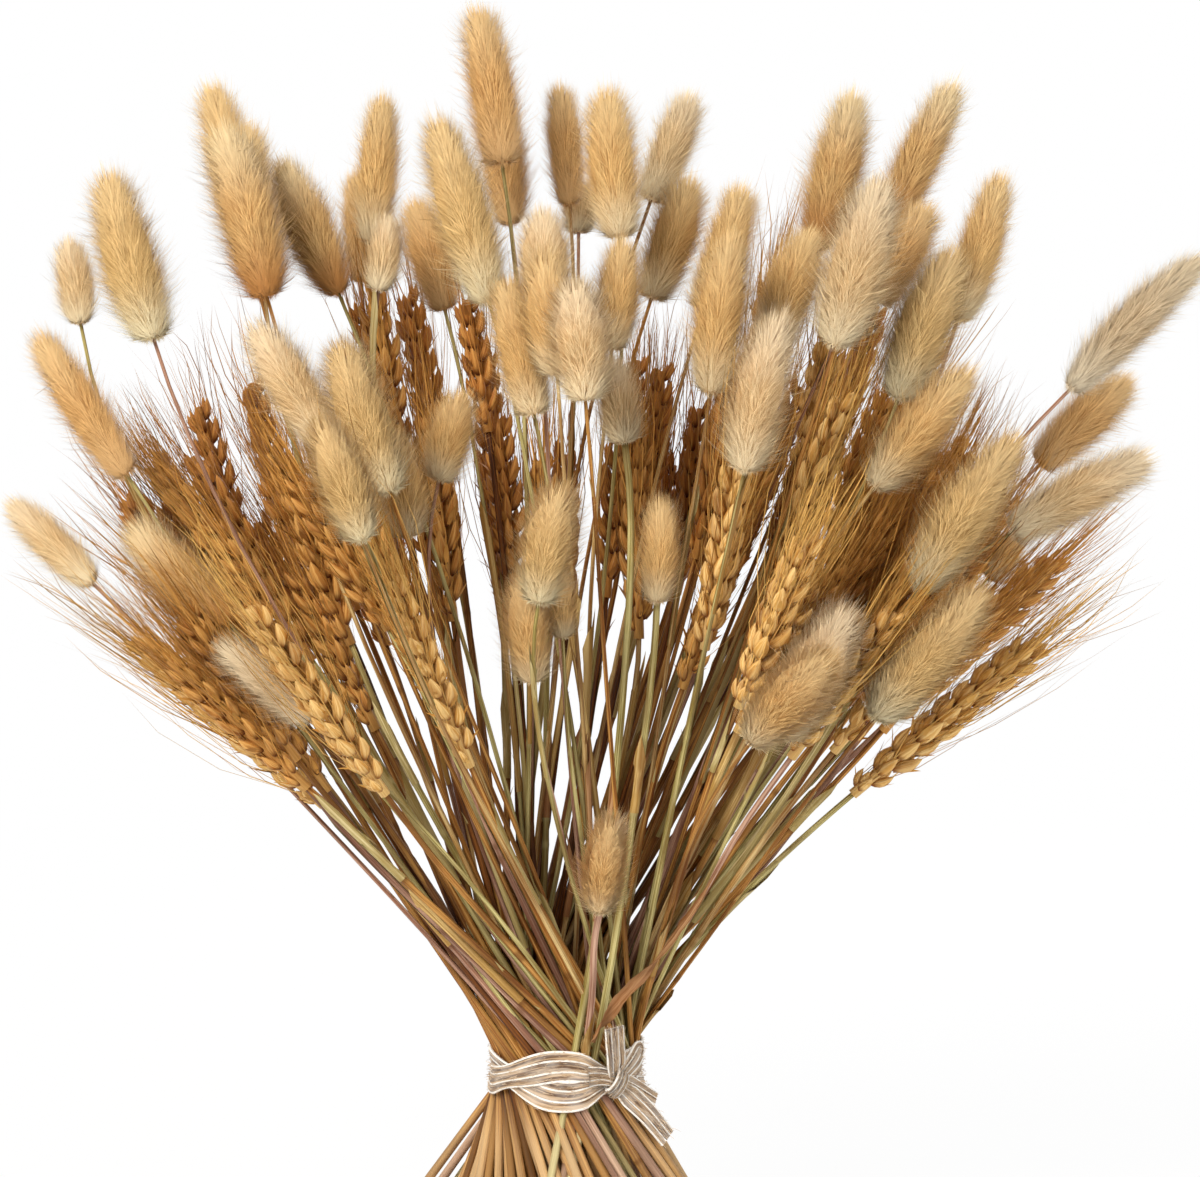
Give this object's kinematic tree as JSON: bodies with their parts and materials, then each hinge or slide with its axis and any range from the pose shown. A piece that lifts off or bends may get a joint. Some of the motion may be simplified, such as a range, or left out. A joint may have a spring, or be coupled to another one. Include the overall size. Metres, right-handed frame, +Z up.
{
  "type": "dried grass bouquet",
  "caption": "Standing tied bunch of dried bunny tail grass and bearded wheat, its stems crossing in a spiral at a striped jute ribbon and fanning out above and below it.",
  "frame": {"origin": "middle of the box round the bunch, at the level of the cut ends", "axes": "+Z up the bunch, -Y towards the front, where the knot and the low heads are, +X to the right seen from the front"},
  "size_m": [0.4279, 0.2097, 0.4484],
  "materials": {
    "bunny_tail_grass": "soft dry hairs, cream at their ends and tan inside, on a dull straw stem",
    "wheat": "dry golden to brown ears and awns on a satin straw stem",
    "jute_ribbon": "coarse natural jute weave with off-white cotton stripes"
  },
  "bodies": {
    "root": {"bunny_tail_01": "bunny_tail_grass", "bunny_tail_02": "bunny_tail_grass", "bunny_tail_03": "bunny_tail_grass", "bunny_tail_04": "bunny_tail_grass", "bunny_tail_05": "bunny_tail_grass", "bunny_tail_06": "bunny_tail_grass", "bunny_tail_07": "bunny_tail_grass", "bunny_tail_08": "bunny_tail_grass", "bunny_tail_09": "bunny_tail_grass", "bunny_tail_10": "bunny_tail_grass", "bunny_tail_11": "bunny_tail_grass", "bunny_tail_12": "bunny_tail_grass", "bunny_tail_13": "bunny_tail_grass", "bunny_tail_14": "bunny_tail_grass", "bunny_tail_15": "bunny_tail_grass", "bunny_tail_16": "bunny_tail_grass", "bunny_tail_17": "bunny_tail_grass", "bunny_tail_18": "bunny_tail_grass", "bunny_tail_19": "bunny_tail_grass", "bunny_tail_20": "bunny_tail_grass", "bunny_tail_21": "bunny_tail_grass", "bunny_tail_22": "bunny_tail_grass", "bunny_tail_23": "bunny_tail_grass", "bunny_tail_24": "bunny_tail_grass", "bunny_tail_25": "bunny_tail_grass", "bunny_tail_26": "bunny_tail_grass", "bunny_tail_27": "bunny_tail_grass", "bunny_tail_28": "bunny_tail_grass", "bunny_tail_29": "bunny_tail_grass", "bunny_tail_30": "bunny_tail_grass", "bunny_tail_31": "bunny_tail_grass", "bunny_tail_32": "bunny_tail_grass", "bunny_tail_33": "bunny_tail_grass", "bunny_tail_34": "bunny_tail_grass", "bunny_tail_35": "bunny_tail_grass", "bunny_tail_36": "bunny_tail_grass", "ribbon_tie": "jute_ribbon", "wheat_ear_01": "wheat", "wheat_ear_02": "wheat", "wheat_ear_03": "wheat", "wheat_ear_04": "wheat", "wheat_ear_05": "wheat", "wheat_ear_06": "wheat", "wheat_ear_07": "wheat", "wheat_ear_08": "wheat", "wheat_ear_09": "wheat", "wheat_ear_10": "wheat", "wheat_ear_11": "wheat", "wheat_ear_12": "wheat", "wheat_ear_13": "wheat", "wheat_ear_14": "wheat", "wheat_ear_15": "wheat", "wheat_ear_16": "wheat", "wheat_ear_17": "wheat", "wheat_ear_18": "wheat", "wheat_ear_19": "wheat", "wheat_ear_20": "wheat", "wheat_ear_21": "wheat", "wheat_ear_22": "wheat", "wheat_ear_23": "wheat"}
  },
  "joints": []
}
